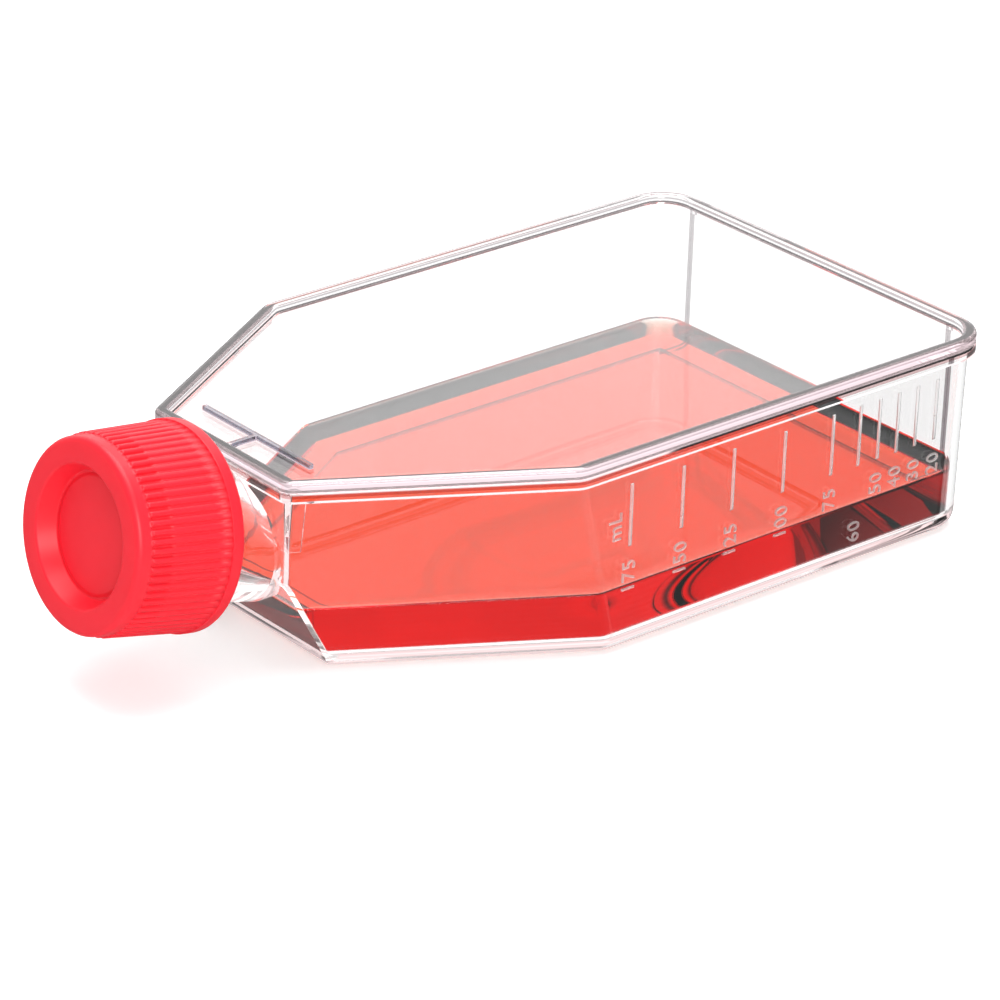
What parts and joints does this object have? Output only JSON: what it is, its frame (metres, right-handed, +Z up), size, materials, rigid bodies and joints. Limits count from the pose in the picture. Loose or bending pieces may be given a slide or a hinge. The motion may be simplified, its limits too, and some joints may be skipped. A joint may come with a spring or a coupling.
{
  "type": "cell culture flask",
  "caption": "Clear canted-neck cell culture flask of the 75 square centimetre class, lying flat with red medium inside and a ribbed red screw cap.",
  "frame": {"origin": "on the bench plane, under the middle of the flask's overall box, capped and lying on its growth face", "axes": "+X runs from the cap to the back wall, +Z is up out of the top plate, and the flask is symmetric left and right of the XZ plane"},
  "size_m": [0.157, 0.0822, 0.0425],
  "materials": {
    "clear_plastic": "clear moulded polystyrene",
    "medium": "clear red liquid",
    "liner_plastic": "soft white foam plastic",
    "cap_plastic": "satin moulded polyethylene"
  },
  "bodies": {
    "flask": {"flask_tray": "clear_plastic", "top_plate": "clear_plastic", "culture_medium": "medium"},
    "seal": {"cap_liner": "liner_plastic"},
    "cap": {"cap_shell": "cap_plastic"}
  },
  "joints": [
    {"name": "cap_lift", "type": "slide", "parent": "flask", "child": "seal", "axis": [-0.9826, 0, 0.1857], "range_m": [0, 0.0071]},
    {"name": "cap_turn", "type": "hinge", "parent": "seal", "child": "cap", "pos_m": [-0.04894, 0, 0.0223], "axis": [-0.9826, 0, 0.1857], "range_deg": [0, 630]}
  ],
  "couplings": [
    {"joint": "cap_lift", "follows": "cap_turn", "m_per_rad": 0.0006366}
  ]
}
